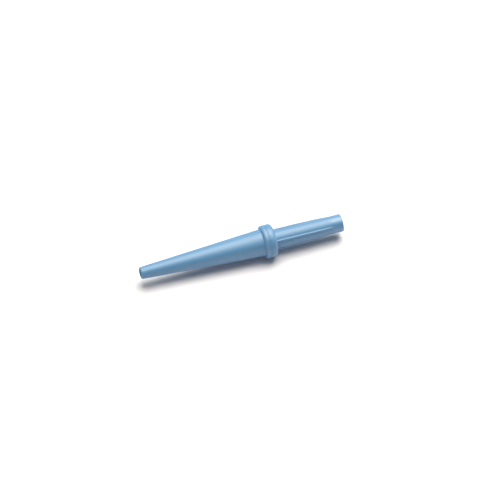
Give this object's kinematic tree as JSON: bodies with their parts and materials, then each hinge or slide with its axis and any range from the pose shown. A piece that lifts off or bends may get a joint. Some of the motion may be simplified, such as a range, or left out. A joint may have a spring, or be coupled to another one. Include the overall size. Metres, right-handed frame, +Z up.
{
  "type": "saliva ejector tip",
  "caption": "Tapered suction nozzle with an open rounded mouth and a collar, turning on a ribbed spigot that a suction hose pushes onto.",
  "frame": {"origin": "on the bore's axis, at the rear face of the collar, where the hose stops", "axes": "+X along the bore towards the hose end, so the nozzle's mouth is at -X; +Z up, with the bore's axis level"},
  "size_m": [0.0725, 0.0116, 0.0116],
  "materials": {
    "nozzle_plastic": "fine satin, injection-moulded polypropylene",
    "spigot_plastic": "polished, injection-moulded polypropylene",
    "seal_rubber": "moulded silicone rubber"
  },
  "bodies": {
    "spigot": {"spigot": "spigot_plastic", "seal_ring": "seal_rubber"},
    "nozzle": {"nozzle": "nozzle_plastic"}
  },
  "joints": [
    {"name": "nozzle_swivel", "type": "hinge", "parent": "spigot", "child": "nozzle", "pos_m": [-0.01, 0, 0], "axis": [1, 0, 0], "continuous": true}
  ]
}
